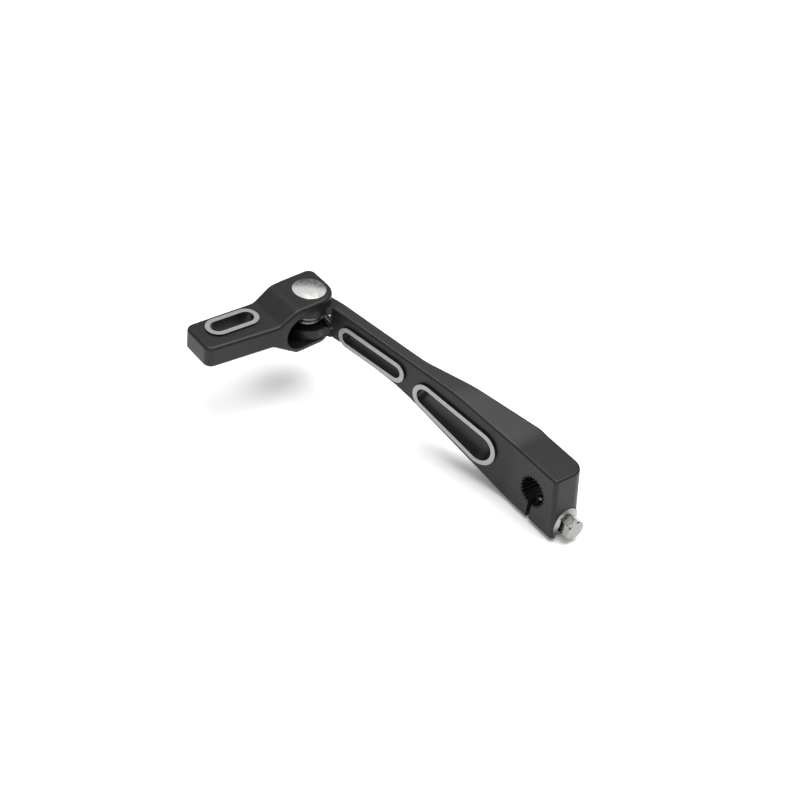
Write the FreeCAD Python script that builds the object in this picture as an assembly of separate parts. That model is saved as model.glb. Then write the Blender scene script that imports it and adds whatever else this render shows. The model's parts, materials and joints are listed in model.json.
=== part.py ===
import FreeCAD
import Part
import math
import os

# Folding gear shift lever for a motorcycle. Millimetres, +Z up.
# The origin is the middle of the splined bore. The bore runs along Y, the arm reaches out along +X,
# and the toe peg stands on the far end, pointing along +Y. The fold pivot stands along Z.

V = FreeCAD.Vector
Z_AXIS = V(0, 0, 1)

# ---- fold pivot and arm line ----
PIVOT_X = 116.4            # pivot axis from the bore
PIVOT_Y = 35.2
HEAD_TOP = 31.6            # top of the pivot pin's dome
ARM_ANGLE = 13.56          # the arm leaves the clamp block at this angle to X, degrees
ARM_THICK = 6.0            # flat arm beside the hinge
FACE_OFFSET = 2.4          # the arm's outer face stands this far behind the pivot axis

# ---- clamp block and splined bore ----
BLOCK_FRONT = 8.0          # outer face of the block, Y
BLOCK_BACK = -7.85         # inner face of the block, Y
BLOCK_LEFT = -10.5         # upper left corner of the block, X
BLOCK_FOOT_LEFT = -15.0    # lower left corner of the block, X
BLOCK_TOP = 13.15
BLOCK_BOTTOM = -14.1
BLOCK_RIGHT = 13.9         # the block turns into the arm here, X
BACK_CORNER_RADIUS = 6.0   # leaning corner at the block's back
FRONT_CORNER_RADIUS = 1.8  # leaning corner at the block's front
BEND_RADIUS = 14.0         # soft inside bend between block and arm
NECK_X = 63.9              # the arm stops narrowing here
BORE_MINOR_R = 6.0         # tips of the splines
BORE_MAJOR_R = 6.65        # roots of the splines
SPLINE_COUNT = 24
BORE_CHAMFER = 0.2
SLIT_X = -0.1
SLIT_WIDTH = 2.0

# ---- arm seen from the side ----
ARM_TOP_MID_X = 43.1       # the upper edge changes slope here
ARM_TOP_MID_Z = 20.3
ARM_TOP_END_Z = 26.35
ARM_BOTTOM_MID_X = 64.5    # the lower edge changes slope here
ARM_BOTTOM_MID_Z = 5.0
ARM_BOTTOM_FLAT_X = 72.5
ARM_BOTTOM_FLAT_Z = 7.3
ARM_BOTTOM_END_X = 100.0   # the lower edge runs level from here to the lug
ARM_BOTTOM_END_Z = 11.3
ARM_EDGE_RADIUS = 3.0      # long edges at the hinge end of the arm
BLOCK_EDGE_RADIUS = 1.1    # the same edges on the engine side
LOWER_EDGE_RADIUS = 2.6    # lower edges, on the outer side at the hinge

# ---- openings in the arm, each with a raised rim ----
RIM_WIDTH = 2.05
RIM_HEIGHT = 1.05
WINDOW_CUT = 36.0          # deeper than the arm is thick at the block
WINDOW_A = ((71.9, 14.5, 2.8), (96.3, 16.65, 2.8))     # X, Z and inner radius of both ends
WINDOW_B = ((28.4, 3.05, 5.92), (56.3, 10.7, 3.87))

# ---- hinge lugs of the arm ----
LUG_RADIUS = 9.1
LUG_TOP = 26.35
LUG_GAP_TOP = 22.4
LUG_GAP_BOTTOM = 16.0
LUG_BOTTOM = 11.3
LUG_GAP_DEPTH = 10.6       # closed end of the spring gap, from the pivot towards the arm
SHOULDER_RADIUS = 2.5      # hollow between lug and arm face
HEEL_OUT = 9.25            # flat stop on the lugs
HEEL_FROM = -8.5
HEEL_TO = -2.5

# ---- pivot pin and bushes ----
PIN_RADIUS = 4.0
HEAD_RADIUS = 7.0
DOME_HEIGHT = 0.9
DOME_RIM = 0.35
PIN_END = 5.4
BUSH_RADIUS = 5.0
RUN_GAP = 0.04             # radial gap between pin and bushes
THRUST_GAP = 0.06          # gap between a bush's end and the ear it runs on

# ---- toe piece ----
EAR_TOP = 30.7
EAR_TOP_INNER = 26.6
EAR_BOTTOM_INNER = 11.0
EAR_BOTTOM = 8.6
EAR_RADIUS = 9.5           # rounded ends of the ears about the pivot
EAR_HEEL_X = 12.5          # closed side of the ears, from the pivot
EAR_CORNER_RADIUS = 3.5
PEG_TOP = 26.0
PEG_BOTTOM = 16.3
PEG_LENGTH = 53.5          # tip from the pivot
PEG_LEFT_ROOT = -10.8      # peg's left side at its root, from the pivot
PEG_LEFT_TIP = -9.2
PEG_RIGHT = 8.8
PEG_TIP_RADIUS = 3.6
PEG_EDGE_RADIUS = 1.4
SLOPE_TOP_FROM = 12.5      # the top slopes from ear to peg between these, Y from the pivot
SLOPE_TOP_TO = 21.0
SLOPE_SHOULDER_RADIUS = 7.0
SLOPE_BOTTOM_FROM = 11.0
SLOPE_BOTTOM_TO = 23.0
POCKET_RADIUS = 7.8        # rounded closed end of the space between the ears
POCKET_CENTRE = 9.0
POCKET_WALL = 9.4          # inner face of the closed side, from the pivot
SLOT_X = 1.2
SLOT_Y = 35.9
SLOT_HALF = 6.48
SLOT_RADIUS = 3.26
SLOT_RIM_HEIGHT = 0.7

# ---- return spring ----
WIRE_RADIUS = 0.9
COIL_RADIUS = 6.0
COIL_PITCH = 1.9
COIL_START_Z = 17.0
COIL_FULL_TURNS = 2
ARM_LEG_END = (-12.4, -2.0)      # in the arm's own directions, from the pivot
TOE_LEG_END = 14.5               # reach of the leg inside the toe piece, Y from the pivot
SPRING_TOUCH = 0.05              # gap between the leg and the wall it bears on

# ---- washer and clip under the lower ear ----
WASHER_RADIUS = 7.0
WASHER_THICK = 1.0
CLIP_RADIUS = 6.2
CLIP_THICK = 0.9
GROOVE_RADIUS = 3.1

# ---- pinch bolt ----
BOLT_Z = -9.15
BOLT_RADIUS = 3.0
BOLT_TIP = 11.2
BOLT_SEAT = -12.0
BOLT_CLEARANCE = 0.25
SEAT_RADIUS = 7.1
FLANGE_RADIUS = 6.35
FLANGE_RIM = 0.8           # upright rim of the flange
FLANGE_THICK = 1.9         # the flange rises as a cone to the hexagon
HEX_ACROSS = 8.0
HEX_TURN = 22.0            # how the hexagon happens to stand when tight
HEAD_HEIGHT = 6.9
BOLT_NECK = 2.75           # waist of the bolt where it passes the bore


def box(x0, x1, y0, y1, z0, z1):
    return Part.makeBox(x1 - x0, y1 - y0, z1 - z0, V(x0, y0, z0))


def cylinder(radius, base, top_offset):
    """A cylinder from base along the vector top_offset."""
    return Part.makeCylinder(radius, top_offset.Length, base, top_offset)


def upright(radius, z0, z1, x=PIVOT_X, y=PIVOT_Y):
    """A cylinder standing on Z, on the fold pivot unless told otherwise."""
    return cylinder(radius, V(x, y, z0), V(0, 0, z1 - z0))


def prism(points, direction):
    """A solid pulled from a closed outline of points."""
    return Part.Face(Part.makePolygon(points + [points[0]])).extrude(direction)


def rounded_outline(corners):
    """A closed flat face from (point, radius) corners, each corner rounded by its radius."""
    edges = []
    starts = []
    ends = []
    count = len(corners)
    for i in range(count):
        point, radius = corners[i]
        before = corners[i - 1][0] - point
        after = corners[(i + 1) % count][0] - point
        before.normalize()
        after.normalize()
        if radius <= 0:
            starts.append(point)
            ends.append(point)
            edges.append(None)
            continue
        half = before.getAngle(after) / 2.0
        reach = radius / math.tan(half)
        first = point + before * reach
        last = point + after * reach
        bisector = before + after
        bisector.normalize()
        middle = point + bisector * (radius / math.sin(half) - radius)
        starts.append(first)
        ends.append(last)
        edges.append(Part.Arc(first, middle, last).toShape())
    wire = []
    for i in range(count):
        if edges[i] is not None:
            wire.append(edges[i])
        following = starts[(i + 1) % count]
        if (following - ends[i]).Length > 1e-4:
            wire.append(Part.makeLine(ends[i], following))
    return Part.Face(Part.Wire(wire))


def arm_point(along, across, z=0.0):
    """A point in the arm's own directions, measured from the pivot axis."""
    c = math.cos(math.radians(ARM_ANGLE))
    s = math.sin(math.radians(ARM_ANGLE))
    return V(PIVOT_X + along * c - across * s, PIVOT_Y + along * s + across * c, z)


def face_point(x, z, across=-FACE_OFFSET):
    """The point with this X and height on a plane parallel to the arm's outer face."""
    c = math.cos(math.radians(ARM_ANGLE))
    s = math.sin(math.radians(ARM_ANGLE))
    along = (x - PIVOT_X + across * s) / c
    return arm_point(along, across, z)


def face_normal():
    return arm_point(0, 1) - arm_point(0, 0)


def slot_solid(end_a, end_b, radius_a, radius_b, normal, depth):
    """A long rounded plug between two circles, whose straight sides touch both circles."""
    line = end_b - end_a
    length = line.Length
    u = V(line)
    u.normalize()
    w = normal.cross(u)
    lean = math.asin((radius_a - radius_b) / length)
    sa = math.sin(lean)
    ca = math.cos(lean)
    a1 = end_a + (u * sa + w * ca) * radius_a
    a2 = end_a + (u * sa - w * ca) * radius_a
    b1 = end_b + (u * sa + w * ca) * radius_b
    b2 = end_b + (u * sa - w * ca) * radius_b
    far_a = end_a - u * radius_a
    far_b = end_b + u * radius_b
    wire = Part.Wire([
        Part.makeLine(a1, b1),
        Part.Arc(b1, far_b, b2).toShape(),
        Part.makeLine(b2, a2),
        Part.Arc(a2, far_a, a1).toShape(),
    ])
    return Part.Face(wire).extrude(normal * depth)


def safe_fillet(shape, radius, edges):
    """Rounds the edges together, or one at a time where the whole set can't be rounded."""
    if not edges:
        return shape
    try:
        done = shape.makeFillet(radius, edges)
        if done.isValid() and done.Volume > 0:
            return done
    except Part.OCCError:
        pass
    print("fillet fell back to single edges", radius, len(edges))
    marks = [edge.valueAt((edge.FirstParameter + edge.LastParameter) / 2.0) for edge in edges]
    for mark in marks:
        near = [edge for edge in shape.Edges if edge.distToShape(Part.Vertex(mark))[0] < 1e-3]
        if not near:
            continue
        try:
            done = shape.makeFillet(radius, near[:1])
            if done.isValid() and done.Volume > 0:
                shape = done
        except Part.OCCError:
            print("edge left sharp at", mark)
    return shape


def edge_middle(edge):
    return edge.valueAt((edge.FirstParameter + edge.LastParameter) / 2.0)


def along_normal(edge, normal):
    """True where a straight edge runs along the direction."""
    if edge.Curve.TypeId != "Part::GeomLine":
        return False
    ends = edge.Vertexes[-1].Point - edge.Vertexes[0].Point
    return ends.Length > 0 and abs(abs(ends.normalize().dot(normal)) - 1) < 1e-3


def hexagon(across, x0, x1, y, z, turn):
    """A hexagonal bar along X, turned about its own axis."""
    radius = across / math.sqrt(3.0)
    points = []
    for i in range(6):
        angle = math.radians(60 * i + turn)
        points.append(V(x0, y - radius * math.cos(angle), z + radius * math.sin(angle)))
    return prism(points, V(x1 - x0, 0, 0))


def arm_plan():
    """The arm and its block seen from above."""
    front_end = arm_point(0, -FACE_OFFSET)
    corner = face_point(0, 0)
    c = math.cos(math.radians(ARM_ANGLE))
    s = math.sin(math.radians(ARM_ANGLE))
    bend_x = corner.x + (BLOCK_FRONT - corner.y) * c / s
    back_end = arm_point(0, -FACE_OFFSET - ARM_THICK)
    back_neck = V(NECK_X, 0, 0)
    back_neck.y = back_end.y - (back_end.x - NECK_X) * s / c
    left = BLOCK_FOOT_LEFT - 1.0
    corners = [
        (V(left, BLOCK_BACK, 0), 0),
        (V(BLOCK_RIGHT + 1.9, BLOCK_BACK, 0), 8.0),
        (back_neck, 30.0),
        (back_end, 0),
        (front_end, 0),
        (V(bend_x, BLOCK_FRONT, 0), BEND_RADIUS),
        (V(left, BLOCK_FRONT, 0), 0),
    ]
    for point, _ in corners:
        point.z = -30.0
    return rounded_outline(corners).extrude(V(0, 0, 80))


def arm_side():
    """The arm and its block seen from the front."""
    y = -40.0
    end = PIVOT_X + 1.0
    corners = [
        (V(BLOCK_LEFT, y, BLOCK_TOP), 0),
        (V(BLOCK_RIGHT, y, BLOCK_TOP), 25.0),
        (V(ARM_TOP_MID_X, y, ARM_TOP_MID_Z), 60.0),
        (V(106.0, y, ARM_TOP_END_Z), 20.0),
        (V(end, y, ARM_TOP_END_Z), 0),
        (V(end, y, ARM_BOTTOM_END_Z), 0),
        (V(ARM_BOTTOM_END_X, y, ARM_BOTTOM_END_Z), 25.0),
        (V(ARM_BOTTOM_FLAT_X, y, ARM_BOTTOM_FLAT_Z), 30.0),
        (V(ARM_BOTTOM_MID_X, y, ARM_BOTTOM_MID_Z), 25.0),
        (V(BLOCK_RIGHT, y, BLOCK_BOTTOM), 10.0),
        (V(BLOCK_FOOT_LEFT, y, BLOCK_BOTTOM), 0),
    ]
    return rounded_outline(corners).extrude(V(0, 120, 0))


def spline_cut():
    """The bore with its ring of grooves."""
    length = BLOCK_FRONT - BLOCK_BACK
    base = V(0, BLOCK_BACK - 1, 0)
    cut = cylinder(BORE_MINOR_R, base, V(0, length + 2, 0))
    grooves = []
    half = math.radians(360.0 / SPLINE_COUNT) * 0.27
    for i in range(SPLINE_COUNT):
        middle = math.radians(360.0 / SPLINE_COUNT * (i + 0.5))
        points = []
        for radius, angle in (
            (BORE_MINOR_R - 0.5, middle - half * 1.3),
            (BORE_MAJOR_R, middle - half * 0.7),
            (BORE_MAJOR_R, middle + half * 0.7),
            (BORE_MINOR_R - 0.5, middle + half * 1.3),
        ):
            points.append(V(radius * math.cos(angle), base.y, radius * math.sin(angle)))
        grooves.append(prism(points, V(0, length + 2, 0)))
    cut = cut.multiFuse(grooves).removeSplitter()
    for y, step in ((BLOCK_FRONT, -1), (BLOCK_BACK, 1)):
        wide = BORE_MAJOR_R + BORE_CHAMFER
        cone = Part.makeCone(wide + 0.2, wide - BORE_CHAMFER, BORE_CHAMFER + 0.2,
                             V(0, y - 0.2 * step, 0), V(0, step, 0))
        cut = cut.fuse(cone)
    return cut


def lug_outline():
    """The round lug, its shoulder and its stop heel seen from above."""
    circle = upright(LUG_RADIUS, 0, 1)
    heel = box(PIVOT_X + 2.0, PIVOT_X + HEEL_OUT, PIVOT_Y + HEEL_FROM, PIVOT_Y + HEEL_TO, 0, 1)
    # shoulder: a hollow of SHOULDER_RADIUS that touches the arm's face and the lug
    centre_across = -FACE_OFFSET + SHOULDER_RADIUS
    centre_along = -math.sqrt((LUG_RADIUS + SHOULDER_RADIUS) ** 2 - centre_across ** 2)
    foot = arm_point(centre_along, -FACE_OFFSET)
    touch_scale = LUG_RADIUS / (LUG_RADIUS + SHOULDER_RADIUS)
    touch = arm_point(centre_along * touch_scale, centre_across * touch_scale)
    inside = arm_point(-3.0, -FACE_OFFSET - 1.0)
    low = arm_point(centre_along, -FACE_OFFSET - 1.0)
    web = prism([foot, touch, inside, low], V(0, 0, 1))
    hollow = cylinder(SHOULDER_RADIUS, arm_point(centre_along, centre_across, -1), V(0, 0, 3))
    web = web.cut(hollow)
    return circle.fuse(heel).fuse(web)


def leaning_corner(body, y):
    """The block's leaning corner edge on the side face at this Y."""
    found = []
    for edge in body.Edges:
        middle = edge_middle(edge)
        low = min(v.Z for v in edge.Vertexes)
        high = max(v.Z for v in edge.Vertexes)
        if abs(middle.y - y) < 0.01 and middle.x < BLOCK_LEFT and high - low > 8:
            found.append(edge)
    return found


def rim_run(body, upper):
    """The edges that run round the top or the bottom of the arm and its block."""
    found = []
    for edge in body.Edges:
        middle = edge_middle(edge)
        if along_normal(edge, Z_AXIS) or middle.x > PIVOT_X - 0.5:
            continue
        level = height_at(middle.x, upper)
        other = height_at(middle.x, not upper)
        if abs(middle.z - level) > 0.2 * abs(level - other):
            continue
        found.append(edge)
    return found


def height_at(x, upper):
    """Height of the arm's upper or lower edge at this X."""
    if upper:
        marks = [(BLOCK_FOOT_LEFT, BLOCK_TOP), (BLOCK_RIGHT, BLOCK_TOP),
                 (ARM_TOP_MID_X, ARM_TOP_MID_Z), (106.0, ARM_TOP_END_Z), (130.0, ARM_TOP_END_Z)]
    else:
        marks = [(BLOCK_FOOT_LEFT, BLOCK_BOTTOM), (BLOCK_RIGHT, BLOCK_BOTTOM),
                 (ARM_BOTTOM_MID_X, ARM_BOTTOM_MID_Z), (ARM_BOTTOM_FLAT_X, ARM_BOTTOM_FLAT_Z),
                 (ARM_BOTTOM_END_X, ARM_BOTTOM_END_Z), (130.0, ARM_BOTTOM_END_Z)]
    for (x0, z0), (x1, z1) in zip(marks, marks[1:]):
        if x <= x1:
            return z0 + (z1 - z0) * max(0.0, x - x0) / (x1 - x0)
    return marks[-1][1]


def soften(body, upper, radii):
    """Rounds the run of edges; the radius goes from the hinge's outer side, round the block,
    to the hinge's inner side."""
    run = rim_run(body, upper)
    normal = face_normal()
    outer = [edge for edge in run
             if (edge_middle(edge) - arm_point(0, -FACE_OFFSET)).dot(normal) > -0.5
             and edge_middle(edge).x > 60]
    outer.sort(key=lambda edge: -edge_middle(edge).x)
    print("run", upper, len(run), len(outer))
    first = outer[0]
    at_hinge = first.Vertexes[0].Point.x > first.Vertexes[-1].Point.x
    tries = ((radii[0], radii[1]), (radii[1], radii[0])) if at_hinge else \
            ((radii[1], radii[0]), (radii[0], radii[1]))
    for pair in tries[:1]:
        try:
            done = body.makeFillet(pair[0], pair[1], [first])
            if done.isValid() and done.Volume > 0:
                print("softened", upper, pair, round(body.Volume - done.Volume, 2))
                return done
        except Part.OCCError as error:
            print("soften failed", upper, pair, error)
    return safe_fillet(body, min(radii), run)


def build_arm():
    body = arm_plan().common(arm_side()).removeSplitter()
    normal = face_normal()
    body = safe_fillet(body, BACK_CORNER_RADIUS, leaning_corner(body, BLOCK_BACK))
    body = safe_fillet(body, FRONT_CORNER_RADIUS, leaning_corner(body, BLOCK_FRONT))
    body = soften(body, True, (ARM_EDGE_RADIUS, BLOCK_EDGE_RADIUS))
    body = soften(body, False, (LOWER_EDGE_RADIUS, BLOCK_EDGE_RADIUS))

    lug_plan = lug_outline()
    levels = FreeCAD.Matrix()
    levels.scale(1, 1, LUG_TOP - LUG_BOTTOM)
    flat = lug_plan.transformGeometry(levels)
    flat.translate(V(0, 0, LUG_BOTTOM))
    flat = flat.removeSplitter()
    body = body.fuse(flat).removeSplitter()

    # space between the lugs for the spring
    gap_height = LUG_GAP_TOP - LUG_GAP_BOTTOM
    reach = LUG_RADIUS + 14.0
    gap_points = [
        arm_point(-LUG_GAP_DEPTH, -reach),
        arm_point(reach, -reach),
        arm_point(reach, reach),
        arm_point(-LUG_GAP_DEPTH, reach),
    ]
    for point in gap_points:
        point.z = LUG_GAP_BOTTOM
    body = body.cut(prism(gap_points, V(0, 0, gap_height)))
    body = body.cut(upright(BUSH_RADIUS, LUG_BOTTOM - 2, LUG_TOP + 2))

    # groove for the spring's leg
    start, end = arm_leg_line()
    line = end - start
    line.normalize()
    groove = cylinder(WIRE_RADIUS + SPRING_TOUCH, end - line * 5.0, line * (5.0 + SPRING_TOUCH))
    body = body.cut(groove)

    # raised rims and windows
    for window in (WINDOW_A, WINDOW_B):
        (xa, za, ra), (xb, zb, rb) = window
        end_a = face_point(xa, za)
        end_b = face_point(xb, zb)
        rim = slot_solid(end_a - normal, end_b - normal, ra + RIM_WIDTH, rb + RIM_WIDTH,
                         normal, RIM_HEIGHT + 1.0)
        body = body.fuse(rim)
        deep = normal * WINDOW_CUT
        body = body.cut(slot_solid(end_a - deep, end_b - deep, ra, rb, normal, 1.5 * WINDOW_CUT))

    # splined bore, slit and bolt hole
    body = body.cut(spline_cut())
    half = SLIT_WIDTH / 2.0
    body = body.cut(box(SLIT_X - half, SLIT_X + half, -30, 30, BLOCK_BOTTOM - 5, 0))
    hole = BOLT_RADIUS + BOLT_CLEARANCE
    body = body.cut(cylinder(hole, V(BOLT_SEAT - 8, 0, BOLT_Z), V(-BOLT_SEAT + 8 + SLIT_X, 0, 0)))
    body = body.cut(cylinder(BOLT_RADIUS, V(SLIT_X, 0, BOLT_Z), V(BOLT_TIP + 0.6 - SLIT_X, 0, 0)))
    body = body.cut(cylinder(SEAT_RADIUS, V(BOLT_SEAT, 0, BOLT_Z), V(-10, 0, 0)))
    return body


def build_bushes():
    parts = []
    for z0, z1 in (
        (EAR_BOTTOM_INNER + THRUST_GAP, LUG_GAP_BOTTOM),
        (LUG_GAP_TOP, EAR_TOP_INNER - THRUST_GAP),
    ):
        bush = upright(BUSH_RADIUS, z0, z1).cut(upright(PIN_RADIUS + RUN_GAP, z0 - 1, z1 + 1))
        parts.append(bush)
    return Part.makeCompound(parts)


def toe_plan():
    """The toe piece seen from above: rounded ears and the peg."""
    x, y = PIVOT_X, PIVOT_Y
    corners = [
        (V(x, y - EAR_RADIUS, 0), 0),
        (V(x + EAR_HEEL_X, y - EAR_RADIUS, 0), EAR_CORNER_RADIUS),
        (V(x + 11.2, y + 7.0, 0), 40.0),
        (V(x + 9.0, y + 22.0, 0), 40.0),
        (V(x + PEG_RIGHT, y + PEG_LENGTH, 0), PEG_TIP_RADIUS),
        (V(x + PEG_LEFT_TIP, y + PEG_LENGTH, 0), PEG_TIP_RADIUS),
        (V(x + PEG_LEFT_ROOT, y + 20.0, 0), 30.0),
        (V(x - EAR_RADIUS - 0.5, y + 6.0, 0), 6.0),
        (V(x - EAR_RADIUS, y, 0), 0),
        (V(x, y, 0), 0),
    ]
    face = rounded_outline(corners).extrude(V(0, 0, 60))
    return face.fuse(upright(EAR_RADIUS, 0, 60)).removeSplitter()


def toe_side():
    """The toe piece seen along X: two ears, slopes and the slimmer peg."""
    x = PIVOT_X - 40.0
    y = PIVOT_Y
    corners = [
        (V(x, y - 20, EAR_TOP), 0),
        (V(x, y + SLOPE_TOP_FROM, EAR_TOP), SLOPE_SHOULDER_RADIUS),
        (V(x, y + SLOPE_TOP_TO, PEG_TOP), 5.0),
        (V(x, y + PEG_LENGTH + 10, PEG_TOP), 0),
        (V(x, y + PEG_LENGTH + 10, PEG_BOTTOM), 0),
        (V(x, y + SLOPE_BOTTOM_TO, PEG_BOTTOM), 5.0),
        (V(x, y + SLOPE_BOTTOM_FROM, EAR_BOTTOM), 2.5),
        (V(x, y - 20, EAR_BOTTOM), 0),
    ]
    return rounded_outline(corners).extrude(V(80, 0, 0))


def build_toe():
    body = toe_plan().common(toe_side())
    outline = []
    for edge in body.Edges:
        middle = edge_middle(edge)
        if along_normal(edge, Z_AXIS) or along_normal(edge, V(1, 0, 0)):
            if abs(middle.y - PIVOT_Y - PEG_LENGTH) > 0.01 and \
               abs(middle.y - PIVOT_Y + EAR_RADIUS) > 0.01:
                continue
            if along_normal(edge, Z_AXIS):
                continue
        flat_top = abs(middle.z - EAR_TOP) < 0.02 or abs(middle.z - EAR_BOTTOM) < 0.02
        flat_peg = abs(middle.z - PEG_TOP) < 0.02 or abs(middle.z - PEG_BOTTOM) < 0.02
        side = abs(middle.x - PIVOT_X) > 8.0
        if flat_top or flat_peg or side:
            outline.append(edge)
    print("toe edges", len(outline))
    body = safe_fillet(body, PEG_EDGE_RADIUS, outline)

    # space between the ears, closed on the right, with a rounded end towards the peg
    x1 = PIVOT_X + POCKET_WALL
    middle_z = (EAR_TOP_INNER + EAR_BOTTOM_INNER) / 2.0
    centre_y = PIVOT_Y + POCKET_CENTRE
    pocket = box(x1 - 60, x1, PIVOT_Y - 40, centre_y, EAR_BOTTOM_INNER, EAR_TOP_INNER)
    end = cylinder(POCKET_RADIUS, V(x1 - 60, centre_y, middle_z), V(60, 0, 0))
    body = body.cut(pocket.fuse(end).removeSplitter())
    body = body.cut(upright(PIN_RADIUS, 0, 40))

    # slot through the peg, with a raised rim on top
    up = V(0, 0, 1)
    end_a = V(PIVOT_X + SLOT_X, PIVOT_Y + SLOT_Y - SLOT_HALF, PEG_TOP - 1)
    end_b = V(PIVOT_X + SLOT_X, PIVOT_Y + SLOT_Y + SLOT_HALF, PEG_TOP - 1)
    wide = SLOT_RADIUS + RIM_WIDTH
    rim = slot_solid(end_a, end_b, wide, wide, up, 1 + SLOT_RIM_HEIGHT)
    body = body.fuse(rim)
    body = body.cut(slot_solid(end_a - up * 20, end_b - up * 20, SLOT_RADIUS, SLOT_RADIUS, up, 40))
    return body


def build_pin():
    """Domed head, shank through both ears, and a groove for the clip."""
    rim_z = EAR_TOP + DOME_RIM
    rise = HEAD_TOP - rim_z
    ball = (HEAD_RADIUS ** 2 + rise ** 2) / (2 * rise)
    dome = Part.makeSphere(ball, V(PIVOT_X, PIVOT_Y, HEAD_TOP - ball))
    head = upright(HEAD_RADIUS, EAR_TOP, HEAD_TOP + 1).common(dome)
    shank = upright(PIN_RADIUS, PIN_END, EAR_TOP + 0.1)
    foot = [edge for edge in shank.Edges if abs(edge_middle(edge).z - PIN_END) < 0.01]
    shank = shank.makeChamfer(0.6, foot)
    pin = head.fuse(shank).removeSplitter()
    groove_top = EAR_BOTTOM - WASHER_THICK - 0.04
    ring = upright(PIN_RADIUS + 1, groove_top - CLIP_THICK - 0.04, groove_top)
    return pin.cut(ring.cut(upright(GROOVE_RADIUS, 0, 30)))


def build_washer():
    top = EAR_BOTTOM - 0.02
    low = EAR_BOTTOM - WASHER_THICK - 0.02
    disc = upright(WASHER_RADIUS, low, top)
    rims = [edge for edge in disc.Edges if edge.Curve.TypeId == "Part::GeomCircle"]
    disc = disc.makeChamfer(0.2, rims)
    return disc.cut(upright(PIN_RADIUS + 0.08, low - 1, top + 1))


def build_clip():
    """An open retaining clip with three inner pads, seated in the pin's groove."""
    top = EAR_BOTTOM - WASHER_THICK - 0.06
    low = top - CLIP_THICK + 0.02
    clip = upright(CLIP_RADIUS, low, top)
    clip = clip.cut(upright(CLIP_RADIUS - 1.6, low - 1, top + 1))
    pads = []
    for angle in (90, 210, 330):
        c = math.cos(math.radians(angle))
        s = math.sin(math.radians(angle))
        side = V(-s, c, 0) * 1.0
        near = V(PIVOT_X, PIVOT_Y, low)
        out = V(c, s, 0)
        points = [near + side, near + side + out * (CLIP_RADIUS - 0.8),
                  near - side + out * (CLIP_RADIUS - 0.8), near - side]
        pads.append(prism(points, V(0, 0, top - low)))
    clip = clip.multiFuse(pads).removeSplitter()
    clip = clip.cut(upright(GROOVE_RADIUS + 0.05, low - 1, top + 1))
    # the mouth that lets it slide onto the pin
    mouth = box(PIVOT_X - 2.6, PIVOT_X + 2.6, PIVOT_Y - 12, PIVOT_Y - 1.6, low - 1, top + 1)
    return clip.cut(mouth)


def coil_point(angle, z, radius=COIL_RADIUS):
    return V(PIVOT_X + radius * math.cos(angle), PIVOT_Y + radius * math.sin(angle), z)


def touch_angle(end, side):
    """Angle at which a straight leg to this end point leaves the coil."""
    flat = end - V(PIVOT_X, PIVOT_Y, end.z)
    return math.atan2(flat.y, flat.x) + side * math.acos(COIL_RADIUS / flat.Length)


def arm_leg_line():
    """Start and end of the spring's lower leg, which bears in a groove in the arm's face."""
    end = arm_point(ARM_LEG_END[0], ARM_LEG_END[1], COIL_START_Z)
    return coil_point(touch_angle(end, 1), COIL_START_Z), end


def spring_turns():
    """First and last angle of the coil, which climbs anticlockwise seen from above."""
    low = arm_leg_line()[1]
    first = touch_angle(low, 1)
    high = V(PIVOT_X + POCKET_WALL - WIRE_RADIUS - SPRING_TOUCH, PIVOT_Y + TOE_LEG_END, 0)
    last = touch_angle(high, -1)
    while last < first + 2 * math.pi * COIL_FULL_TURNS:
        last += 2 * math.pi
    return first, last, high


def build_spring():
    """Torsion spring: a coil about the pin, one leg to the arm and one inside the toe piece."""
    first, last, high = spring_turns()
    turn = 2 * math.pi
    points = []
    steps = 120
    for i in range(steps + 1):
        angle = first + (last - first) * i / steps
        points.append(coil_point(angle, COIL_START_Z + COIL_PITCH * (angle - first) / turn))
    curve = Part.BSplineCurve()
    curve.interpolate(points)
    edge = curve.toShape()
    ring = Part.Wire([Part.makeCircle(WIRE_RADIUS, points[0], edge.tangentAt(edge.FirstParameter))])
    coil = Part.Wire([edge]).makePipeShell([ring], True, True)
    pieces = []
    high.z = points[-1].z
    for start, end in (arm_leg_line(), (points[-1], high)):
        pieces.append(cylinder(WIRE_RADIUS, start, end - start))
        pieces.append(Part.makeSphere(WIRE_RADIUS, start))
    return coil.multiFuse(pieces)


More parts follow.
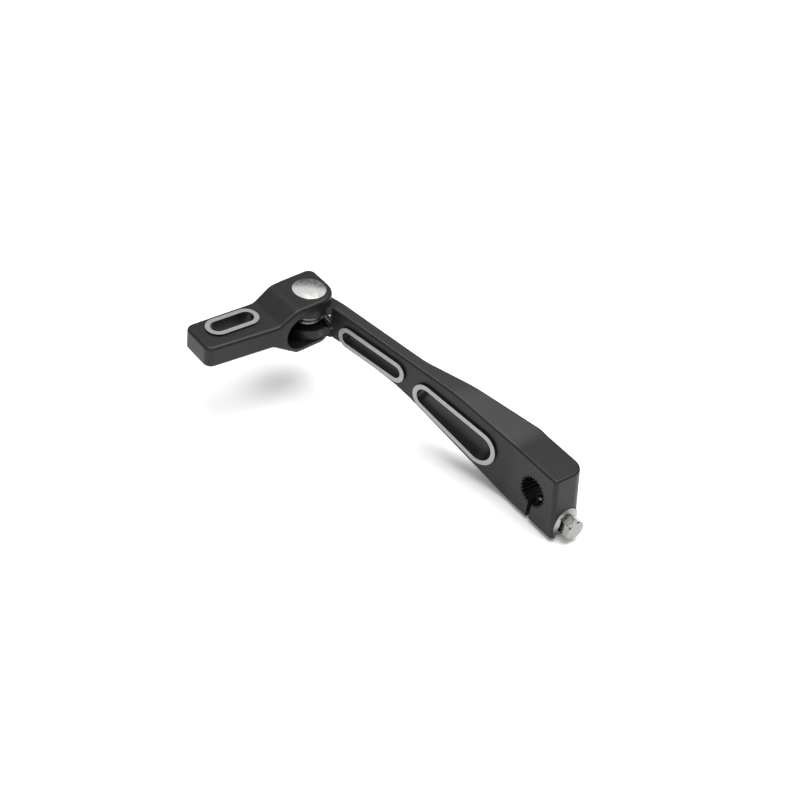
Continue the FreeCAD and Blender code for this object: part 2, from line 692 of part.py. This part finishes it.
def build_bolt():
    """Flanged hexagon bolt, waisted where it passes the bore, threaded past the slit."""
    base = V(BOLT_SEAT, 0, BOLT_Z)
    disc = cylinder(FLANGE_RADIUS, base, V(-FLANGE_RIM, 0, 0))
    slope = Part.makeCone(FLANGE_RADIUS - 0.25, HEX_ACROSS / 2.0, FLANGE_THICK - FLANGE_RIM,
                          V(BOLT_SEAT - FLANGE_RIM, 0, BOLT_Z), V(-1, 0, 0))
    flange = disc.fuse(slope)
    head = hexagon(HEX_ACROSS, BOLT_SEAT - HEAD_HEIGHT, BOLT_SEAT - FLANGE_RIM, 0, BOLT_Z, HEX_TURN)
    outer = HEX_ACROSS / math.sqrt(3.0)
    cone = Part.makeCone(outer - 0.9, outer + 4.1, 5.0,
                         V(BOLT_SEAT - HEAD_HEIGHT - 0.3, 0, BOLT_Z), V(1, 0, 0))
    bar = cylinder(outer + 3.0, V(BOLT_SEAT - HEAD_HEIGHT + 4.6, 0, BOLT_Z), V(3, 0, 0))
    head = head.common(cone.fuse(bar))
    waist = cylinder(BOLT_NECK, base, V(SLIT_X - 1.0 - BOLT_SEAT, 0, 0))
    thread = cylinder(BOLT_RADIUS, V(SLIT_X - 1.0, 0, BOLT_Z), V(BOLT_TIP - SLIT_X + 1.0, 0, 0))
    tip = [e for e in thread.Edges if abs(edge_middle(e).x - BOLT_TIP) < 0.01]
    thread = thread.makeChamfer(0.6, tip)
    return flange.fuse(head).fuse(waist).fuse(thread).removeSplitter()


os.makedirs("parts", exist_ok=True)
NODES = {
    "lever_arm": build_arm,
    "toe_piece": build_toe,
    "pivot_pin": build_pin,
    "pivot_bushes": build_bushes,
    "return_spring": build_spring,
    "pin_washer": build_washer,
    "pin_clip": build_clip,
    "pinch_bolt": build_bolt,
}
for name, build in NODES.items():
    shape = build()
    print(name, shape.isValid(), len(shape.Solids), round(shape.Volume, 1))
    shape.exportStep("parts/" + name + ".step")
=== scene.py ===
import json
import math

import bmesh
import bpy
from bpy.props import FloatProperty, FloatVectorProperty, PointerProperty
from mathutils import Euler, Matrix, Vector


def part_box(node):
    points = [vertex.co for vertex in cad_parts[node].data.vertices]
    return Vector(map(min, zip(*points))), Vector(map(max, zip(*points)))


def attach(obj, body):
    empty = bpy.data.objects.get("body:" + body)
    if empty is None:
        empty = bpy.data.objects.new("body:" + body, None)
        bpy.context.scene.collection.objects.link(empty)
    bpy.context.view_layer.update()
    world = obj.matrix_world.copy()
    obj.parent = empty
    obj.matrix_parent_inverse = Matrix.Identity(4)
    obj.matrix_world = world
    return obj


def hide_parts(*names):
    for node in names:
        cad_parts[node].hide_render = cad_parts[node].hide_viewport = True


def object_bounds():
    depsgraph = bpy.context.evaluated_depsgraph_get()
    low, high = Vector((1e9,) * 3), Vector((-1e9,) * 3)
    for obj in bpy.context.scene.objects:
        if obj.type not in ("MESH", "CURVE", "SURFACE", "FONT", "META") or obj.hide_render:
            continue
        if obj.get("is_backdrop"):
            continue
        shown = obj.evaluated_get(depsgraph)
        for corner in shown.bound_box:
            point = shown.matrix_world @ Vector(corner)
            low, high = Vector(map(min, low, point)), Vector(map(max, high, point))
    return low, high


bl_info = {
    "name": "Folding Shift Lever",
    "version": (1, 0, 0),
    "blender": (4, 5, 0),
    "location": "View3D > Sidebar > Shift Lever",
    "description": "Finishes a folding gear shift lever: satin black arm and toe, bright pin and bolt",
    "category": "Object",
}

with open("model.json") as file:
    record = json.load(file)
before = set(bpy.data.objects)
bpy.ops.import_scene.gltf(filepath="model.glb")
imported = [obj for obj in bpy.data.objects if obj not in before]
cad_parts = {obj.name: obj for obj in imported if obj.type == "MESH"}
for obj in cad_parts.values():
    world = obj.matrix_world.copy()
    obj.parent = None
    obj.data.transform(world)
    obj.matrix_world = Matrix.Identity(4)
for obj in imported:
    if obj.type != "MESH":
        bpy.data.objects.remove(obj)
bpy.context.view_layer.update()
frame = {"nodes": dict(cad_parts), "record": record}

MM = 0.001

# ---------------------------------------------------------------- driving values

ARM_ANGLE = math.radians(13.56)   # the arm leaves the clamp block at this angle to X
FACE_OFFSET = -2.4 * MM           # the arm's outer face, measured from the pivot along its normal
TOE_RIM_Z = 26.7 * MM             # top of the rim round the toe piece's slot
RIM_BELOW = -0.08 * MM            # bare metal starts this far under a rim's top
RIM_ABOVE = 0.4 * MM              # and ends this far over it
RIM_FACING = 0.995                # only faces this square to the rim plane are bare

THREAD_ROOT = 2.72 * MM           # radii of the thread's root and crest
THREAD_CREST = 2.99 * MM
THREAD_START = -10.6 * MM         # first turn, along the bolt
THREAD_TURNS = 9
THREAD_STEPS = 36                 # segments in one turn
RIDGE_FOOT = 0.44                 # half widths of the ridge, as shares of the pitch
RIDGE_TIP = 0.07

SATIN_SPECULAR = 0.33             # a matt coat reflects less than bare plastic
RINGS_PER_METRE = 9000.0          # turning rings left by a lathe
SMOOTH_ANGLE = 35                 # edges sharper than this stay crisp, degrees
TURNED_ANGLE = 25                 # the same for turned pieces, whose chamfers are shallow

WELD_DISTANCE = 0.000001
FLOOR_HALF = 3.0                  # half the floor's side, metres
FLOOR_CENTRE = (0.05, 0.03)
LIT_POINT = (0.06, 0.03, 0.0)     # both lights aim at the middle of the lever
# name, place, diameter and power of each light
LIGHTS = (("key_softbox", (0.03, -0.12, 0.95), 1.1, 13),
          ("fill_softbox", (-0.35, 0.6, 0.5), 0.5, 1.2))
# grey of the surroundings by height, from 0 straight down to 1 straight up
SKY_LOW = (0.5, 0.35)
SKY_HIGH = (1.0, 1.0)
SKY_BANDS = ((0.56, 0.12), (0.7, 0.15), (0.755, 0.2), (0.79, 0.95), (0.9, 0.9), (0.95, 0.5))
CAMERA_PLACE = (-0.2758, 0.33929, 0.3914)
CAMERA_TURN = (49.914, -6.592, -127.277)
SENSOR_WIDTH = 36
CLIP_START = 0.01


def hex_colour(text):
    """A scene-linear colour from an sRGB hex code."""
    channels = []
    for i in (0, 2, 4):
        c = int(text[i:i + 2], 16) / 255
        channels.append(c / 12.92 if c <= 0.04045 else ((c + 0.055) / 1.055) ** 2.4)
    return tuple(channels)


def colour_prop(name, description, code):
    return FloatVectorProperty(name=name, description=description, default=hex_colour(code),
                               subtype="COLOR", size=3, min=0, max=1)


def length_prop(name, description, mm):
    return FloatProperty(name=name, description=description, default=mm * MM, min=0,
                         subtype="DISTANCE", unit="LENGTH")


# ---------------------------------------------------------------- settings

class LeverFinish(bpy.types.PropertyGroup):
    black: colour_prop("Black coat", "Satin black coat on the arm and toe piece", "101011")
    bare: colour_prop("Bare rims", "Freshly machined aluminium of the raised rims", "a9a8a6")
    steel: colour_prop("Bright steel", "Polished pin head", "e4e2de")
    plated: colour_prop("Plated steel", "Pinch bolt and washer", "9c9b98")
    spring: colour_prop("Spring steel", "Drawn wire and retaining clip", "8a8a8a")
    bronze: colour_prop("Bronze", "Turned bushes in the lugs", "a8845a")


class LeverSizes(bpy.types.PropertyGroup):
    rim_lip: length_prop("Rim height", "Height of a raised rim over its face", 1.05)
    thread_pitch: length_prop("Thread pitch", "Pitch of the pinch bolt's thread", 1.0)


class StageSettings(bpy.types.PropertyGroup):
    floor: colour_prop("Floor", "Plain pale floor and backdrop", "f6f6f6")
    focal: FloatProperty(name="Focal length", description="Camera focal length on a 36 mm sensor",
                         default=67.5, min=10, max=300)


# ---------------------------------------------------------------- node helpers

def add_node(tree, kind, inputs=None, **settings):
    """A node with its settings, and its inputs set to values or linked to sockets."""
    node = tree.nodes.new(kind)
    for key, value in settings.items():
        setattr(node, key, value)
    for key, value in (inputs or {}).items():
        socket = node.inputs[key]
        if isinstance(value, bpy.types.NodeSocket):
            tree.links.new(value, socket)
        else:
            socket.default_value = value
    return node


def new_material(name):
    """An empty material, its tree and its Principled shader."""
    material = bpy.data.materials.new(name)
    material.use_nodes = True
    tree = material.node_tree
    tree.nodes.clear()
    shader = add_node(tree, "ShaderNodeBsdfPrincipled")
    output = add_node(tree, "ShaderNodeOutputMaterial")
    tree.links.new(shader.outputs["BSDF"], output.inputs["Surface"])
    return material, tree, shader


def object_point(tree):
    return add_node(tree, "ShaderNodeTexCoord").outputs["Object"]


def noise(tree, vector, size, detail=4.0, roughness=0.6):
    """Noise whose blotches are about size metres across."""
    return add_node(tree, "ShaderNodeTexNoise", {
        "Vector": vector, "Scale": 1.0 / size, "Detail": detail, "Roughness": roughness})


def ramp(tree, value, low, high, out_low=0.0, out_high=1.0):
    return add_node(tree, "ShaderNodeMapRange", {
        "Value": value, "From Min": low, "From Max": high,
        "To Min": out_low, "To Max": out_high}).outputs["Result"]


def math_node(tree, operation, a, b=0.0, clamp=False):
    node = add_node(tree, "ShaderNodeMath", {0: a, 1: b}, operation=operation)
    node.use_clamp = clamp
    return node.outputs[0]


def mix_colour(tree, factor, a, b):
    node = add_node(tree, "ShaderNodeMix", {"Factor": factor}, data_type="RGBA")
    for index, value in ((6, a), (7, b)):
        if isinstance(value, bpy.types.NodeSocket):
            tree.links.new(value, node.inputs[index])
        else:
            node.inputs[index].default_value = value
    return node.outputs[2]


def shade(colour, factor):
    return (colour[0] * factor, colour[1] * factor, colour[2] * factor, 1.0)


def edge_wear(tree, vector):
    """1 on sharp outer corners, broken up by fine noise."""
    geometry = add_node(tree, "ShaderNodeNewGeometry")
    corner = ramp(tree, geometry.outputs["Pointiness"], 0.53, 0.62)
    broken = ramp(tree, noise(tree, vector, 0.0022).outputs["Fac"], 0.35, 0.7)
    return math_node(tree, "MULTIPLY", corner, broken, clamp=True)


# ---------------------------------------------------------------- materials

def distance_over_plane(tree, vector, point, normal):
    """Height of the surface point over a plane, in metres."""
    offset = add_node(tree, "ShaderNodeVectorMath", {0: vector, 1: tuple(point)},
                      operation="SUBTRACT").outputs["Vector"]
    return add_node(tree, "ShaderNodeVectorMath", {0: offset, 1: tuple(normal)},
                    operation="DOT_PRODUCT").outputs["Value"]


def satin_black(name, finish, rim_point=None, rim_normal=None):
    """Satin black coat over aluminium: near black, soft broad highlights, a fine bead-blasted
    grain, slightly paler worn corners. Where a rim plane is given, faces at that height and
    facing it are bare fine-milled metal."""
    material, tree, shader = new_material(name)
    shader.inputs["Specular IOR Level"].default_value = SATIN_SPECULAR
    point = object_point(tree)
    grain = noise(tree, point, 0.0007, 3.0).outputs["Fac"]
    cloud = noise(tree, point, 0.014, 3.0).outputs["Fac"]
    worn = edge_wear(tree, point)
    coat = mix_colour(tree, ramp(tree, cloud, 0.3, 0.7, 0.0, 1.0),
                      shade(finish.black, 0.85), shade(finish.black, 1.2))
    coat = mix_colour(tree, math_node(tree, "MULTIPLY", worn, 0.35), coat,
                      shade(finish.black, 3.2))
    rough = math_node(tree, "ADD", ramp(tree, grain, 0.25, 0.75, 0.34, 0.46),
                      ramp(tree, cloud, 0.3, 0.7, -0.03, 0.04))
    colour = coat
    metal = 0.0
    if rim_point is not None:
        height = distance_over_plane(tree, point, rim_point, rim_normal)
        facing = add_node(tree, "ShaderNodeVectorMath", {
            0: add_node(tree, "ShaderNodeTexCoord").outputs["Normal"],
            1: tuple(rim_normal)}, operation="DOT_PRODUCT").outputs["Value"]
        top = math_node(tree, "GREATER_THAN", height, RIM_BELOW)
        flat = math_node(tree, "GREATER_THAN", facing, RIM_FACING)
        below = math_node(tree, "LESS_THAN", height, RIM_ABOVE)
        mask = math_node(tree, "MULTIPLY", math_node(tree, "MULTIPLY", top, flat), below)
        speck = noise(tree, point, 0.0004, 2.0).outputs["Fac"]
        bare = mix_colour(tree, ramp(tree, speck, 0.3, 0.7), shade(finish.bare, 0.72),
                          shade(finish.bare, 1.0))
        colour = mix_colour(tree, mask, coat, bare)
        rough = math_node(tree, "ADD", rough, math_node(tree, "MULTIPLY", mask, 0.08))
        metal = mask
    bump = add_node(tree, "ShaderNodeBump", {
        "Height": grain, "Strength": 0.12, "Distance": 0.00008}).outputs["Normal"]
    for socket, value in (("Base Color", colour), ("Roughness", rough), ("Normal", bump),
                          ("Metallic", metal)):
        if isinstance(value, bpy.types.NodeSocket):
            tree.links.new(value, shader.inputs[socket])
        else:
            shader.inputs[socket].default_value = value
    return material


def bright_steel(name, colour, centre, axis):
    """Turned and polished steel: bright, with faint turning rings about its axis and small
    scuffs that break the reflection."""
    material, tree, shader = new_material(name)
    point = object_point(tree)
    offset = add_node(tree, "ShaderNodeVectorMath", {0: point, 1: tuple(centre)},
                      operation="SUBTRACT").outputs["Vector"]
    along = add_node(tree, "ShaderNodeVectorMath", {0: offset, 1: tuple(axis)},
                     operation="MULTIPLY").outputs["Vector"]
    across = add_node(tree, "ShaderNodeVectorMath", {0: offset, 1: along},
                      operation="SUBTRACT").outputs["Vector"]
    radius = add_node(tree, "ShaderNodeVectorMath", {0: across}, operation="LENGTH").outputs["Value"]
    rings = add_node(tree, "ShaderNodeTexNoise", {
        "W": math_node(tree, "MULTIPLY", radius, RINGS_PER_METRE), "Scale": 1.0, "Detail": 2.0},
        noise_dimensions="1D").outputs["Fac"]
    scuff = noise(tree, point, 0.0016, 5.0).outputs["Fac"]
    cloud = noise(tree, point, 0.006).outputs["Fac"]
    rough = math_node(tree, "ADD", ramp(tree, scuff, 0.4, 0.75, 0.14, 0.3),
                      ramp(tree, rings, 0.3, 0.7, -0.02, 0.05))
    tone = mix_colour(tree, ramp(tree, cloud, 0.3, 0.7), shade(colour, 0.82), shade(colour, 1.0))
    bump = add_node(tree, "ShaderNodeBump", {
        "Height": rings, "Strength": 0.08, "Distance": 0.00002}).outputs["Normal"]
    tree.links.new(tone, shader.inputs["Base Color"])
    tree.links.new(rough, shader.inputs["Roughness"])
    tree.links.new(bump, shader.inputs["Normal"])
    shader.inputs["Metallic"].default_value = 1.0
    return material


def drawn_wire(name, colour):
    """Spring steel: grey, oiled, with dark specks of scale."""
    material, tree, shader = new_material(name)
    point = object_point(tree)
    speck = noise(tree, point, 0.0008, 4.0).outputs["Fac"]
    tone = mix_colour(tree, ramp(tree, speck, 0.35, 0.6), shade(colour, 0.45), shade(colour, 1.0))
    tree.links.new(tone, shader.inputs["Base Color"])
    tree.links.new(ramp(tree, speck, 0.3, 0.7, 0.42, 0.24), shader.inputs["Roughness"])
    shader.inputs["Metallic"].default_value = 1.0
    return material


# ---------------------------------------------------------------- mesh helpers

def finished_object(name, mesh_edit, material, body, node):
    """Turns a bmesh into a smooth-shaded piece that stands for a CAD node."""
    mesh_edit.normal_update()
    mesh = bpy.data.meshes.new(name)
    mesh_edit.to_mesh(mesh)
    mesh_edit.free()
    mesh.shade_smooth()
    obj = bpy.data.objects.new(name, mesh)
    bpy.context.collection.objects.link(obj)
    mesh.materials.append(material)
    weighted = obj.modifiers.new("even_faces", "WEIGHTED_NORMAL")
    weighted.keep_sharp = True
    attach(obj, body)
    if node:
        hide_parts(node)


def smooth_copy(node, name, material, body, angle=SMOOTH_ANGLE):
    """A welded copy of a CAD node, smooth across its roundings and crisp at its edges."""
    edit = bmesh.new()
    edit.from_mesh(frame["nodes"][node].data)
    bmesh.ops.remove_doubles(edit, verts=edit.verts, dist=WELD_DISTANCE)
    for edge in edit.edges:
        sharp = len(edge.link_faces) != 2 or edge.calc_face_angle(0) > math.radians(angle)
        edge.smooth = not sharp
    finished_object(name, edit, material, body, node)


class LeverOperator:
    """What the lever's operators share."""
    bl_options = {"REGISTER", "UNDO"}


# ---------------------------------------------------------------- operators

class LEVER_OT_arm(LeverOperator, bpy.types.Operator):
    """Finish the arm in satin black with bare rims round its windows"""
    bl_idname = "lever.arm"
    bl_label = "Arm"

    def execute(self, context):
        finish = context.scene.lever_finish
        normal = Vector((-math.sin(ARM_ANGLE), math.cos(ARM_ANGLE), 0))
        pivot = Vector(frame["record"]["behaviour"]["joints"][0]["pos_m"])
        lip = context.scene.lever_sizes.rim_lip
        plane = pivot + normal * (FACE_OFFSET + lip)
        material = satin_black("satin_black_arm", finish, plane, normal)
        smooth_copy("lever_arm", "arm_body", material, "arm")
        return {"FINISHED"}


class LEVER_OT_toe(LeverOperator, bpy.types.Operator):
    """Finish the folding toe piece in satin black with a bare rim round its slot"""
    bl_idname = "lever.toe"
    bl_label = "Toe piece"

    def execute(self, context):
        finish = context.scene.lever_finish
        up = Vector((0, 0, 1))
        material = satin_black("satin_black_toe", finish, up * TOE_RIM_Z, up)
        smooth_copy("toe_piece", "toe_body", material, "toe")
        return {"FINISHED"}


class LEVER_OT_thread(LeverOperator, bpy.types.Operator):
    """Wind the helical thread round the pinch bolt's shank"""
    bl_idname = "lever.thread"
    bl_label = "Bolt thread"

    def execute(self, context):
        pitch = context.scene.lever_sizes.thread_pitch
        low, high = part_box("pinch_bolt")
        centre = Vector((0, (low[1] + high[1]) / 2, (low[2] + high[2]) / 2))
        profile = ((-RIDGE_FOOT, THREAD_ROOT), (-RIDGE_TIP, THREAD_CREST),
                   (RIDGE_TIP, THREAD_CREST), (RIDGE_FOOT, THREAD_ROOT))
        edit = bmesh.new()
        ridge = []
        for along, radius in profile:
            place = (THREAD_START + along * pitch, centre.y + radius, centre.z)
            ridge.append(edit.verts.new(place))
        loop = [edit.edges.new((ridge[i], ridge[(i + 1) % 4])) for i in range(4)]
        bmesh.ops.spin(edit, geom=ridge + loop, cent=centre, axis=Vector((1, 0, 0)),
                       dvec=Vector((pitch / THREAD_STEPS, 0, 0)),
                       angle=math.tau * THREAD_TURNS, steps=THREAD_STEPS * THREAD_TURNS,
                       use_merge=False, use_duplicate=False)
        bmesh.ops.holes_fill(edit, edges=[e for e in edit.edges if e.is_boundary], sides=4)
        bmesh.ops.recalc_face_normals(edit, faces=edit.faces)
        steel = bpy.data.materials["plated_bolt_steel"]
        finished_object("bolt_thread", edit, steel, "arm", None)
        return {"FINISHED"}


class LEVER_OT_fittings(LeverOperator, bpy.types.Operator):
    """Finish the pin, bushes, washer, clip, spring and bolt"""
    bl_idname = "lever.fittings"
    bl_label = "Pin, spring and bolt"

    def execute(self, context):
        finish = context.scene.lever_finish
        pivot = Vector(frame["record"]["behaviour"]["joints"][0]["pos_m"])
        low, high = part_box("pinch_bolt")
        bolt_centre = ((low[0] + high[0]) / 2, (low[1] + high[1]) / 2, (low[2] + high[2]) / 2)
        pin = bright_steel("polished_pin_steel", finish.steel, pivot, (0, 0, 1))
        bolt = bright_steel("plated_bolt_steel", finish.plated, bolt_centre, (1, 0, 0))
        plate = bright_steel("plated_washer_steel", finish.plated, pivot, (0, 0, 1))
        bronze = bright_steel("turned_bronze", finish.bronze, pivot, (0, 0, 1))
        wire = drawn_wire("drawn_spring_wire", finish.spring)
        smooth_copy("pivot_pin", "pin_polished", pin, "toe", TURNED_ANGLE)
        smooth_copy("pinch_bolt", "bolt_pinch", bolt, "arm", TURNED_ANGLE)
        smooth_copy("pivot_bushes", "bushes_turned", bronze, "arm")
        smooth_copy("pin_washer", "washer_flat", plate, "toe")
        smooth_copy("pin_clip", "clip_retaining", wire, "toe")
        smooth_copy("return_spring", "spring_return", wire, "arm")
        return {"FINISHED"}


def add_area_light(name, place, target, size, power):
    data = bpy.data.lights.new(name, "AREA")
    data.shape = "DISK"
    data.size = size
    data.energy = power
    light = bpy.data.objects.new(name, data)
    light.location = place
    direction = Vector(target) - Vector(place)
    light.rotation_euler = direction.to_track_quat("-Z", "Y").to_euler()
    bpy.context.collection.objects.link(light)


class LEVER_OT_stage(LeverOperator, bpy.types.Operator):
    """Set up the pale floor, the soft lights and the camera"""
    bl_idname = "lever.stage"
    bl_label = "Floor, lights and camera"

    def execute(self, context):
        settings = context.scene.lever_stage
        material, tree, shader = new_material("pale_floor")
        shader.inputs["Base Color"].default_value = (*settings.floor, 1)
        shader.inputs["Roughness"].default_value = 0.9
        edit = bmesh.new()
        bmesh.ops.create_grid(edit, x_segments=1, y_segments=1, size=FLOOR_HALF)
        bmesh.ops.translate(edit, verts=edit.verts,
                            vec=Vector((*FLOOR_CENTRE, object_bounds()[0][2])))
        mesh = bpy.data.meshes.new("floor")
        edit.to_mesh(mesh)
        edit.free()
        mesh.materials.append(material)
        floor = bpy.data.objects.new("floor", mesh)
        context.collection.objects.link(floor)
        floor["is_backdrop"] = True

        world = bpy.data.worlds.new("soft_studio")
        world.use_nodes = True
        tree = world.node_tree
        background = tree.nodes["Background"]
        direction = add_node(tree, "ShaderNodeTexCoord").outputs["Generated"]
        height = add_node(tree, "ShaderNodeSeparateXYZ", {0: direction}).outputs["Z"]
        sky = add_node(tree, "ShaderNodeValToRGB", {"Fac": ramp(tree, height, -1.0, 1.0)})
        bands = sky.color_ramp.elements
        for band, (position, grey) in zip(bands, (SKY_LOW, SKY_HIGH)):
            band.position = position
            band.color = (grey, grey, grey, 1)
        for position, grey in SKY_BANDS:
            band = bands.new(position)
            band.color = (grey, grey, grey, 1)
        tree.links.new(sky.outputs["Color"], background.inputs["Color"])
        background.inputs["Strength"].default_value = 1.0
        context.scene.world = world
        for name, place, size, power in LIGHTS:
            add_area_light(name, place, LIT_POINT, size, power)

        data = bpy.data.cameras.new("camera")
        data.lens = settings.focal
        data.sensor_width = SENSOR_WIDTH
        data.clip_start = CLIP_START
        camera = bpy.data.objects.new("camera", data)
        camera.location = CAMERA_PLACE
        camera.rotation_euler = Euler([math.radians(turn) for turn in CAMERA_TURN], "XYZ")
        context.collection.objects.link(camera)
        context.scene.camera = camera
        context.scene.view_settings.view_transform = "Standard"
        return {"FINISHED"}


class LEVER_PT_panel(bpy.types.Panel):
    """Buttons that finish the shift lever"""
    bl_label = "Shift Lever"
    bl_idname = "LEVER_PT_panel"
    bl_space_type = "VIEW_3D"
    bl_region_type = "UI"
    bl_category = "Shift Lever"

    def draw(self, context):
        for operator in OPERATORS:
            self.layout.operator(operator.bl_idname)


OPERATORS = (LEVER_OT_arm, LEVER_OT_toe, LEVER_OT_fittings, LEVER_OT_thread, LEVER_OT_stage)
SETTINGS = {"lever_finish": LeverFinish, "lever_sizes": LeverSizes, "lever_stage": StageSettings}
CLASSES = (*SETTINGS.values(), *OPERATORS, LEVER_PT_panel)


def register():
    for cls in CLASSES:
        bpy.utils.register_class(cls)
    for name, group in SETTINGS.items():
        setattr(bpy.types.Scene, name, PointerProperty(type=group))


def unregister():
    for name in SETTINGS:
        delattr(bpy.types.Scene, name)
    for cls in reversed(CLASSES):
        bpy.utils.unregister_class(cls)


def main():
    register()
    for operator in OPERATORS:
        group, _, action = operator.bl_idname.partition(".")
        getattr(getattr(bpy.ops, group), action)()


if __name__ == "__main__":
    main()
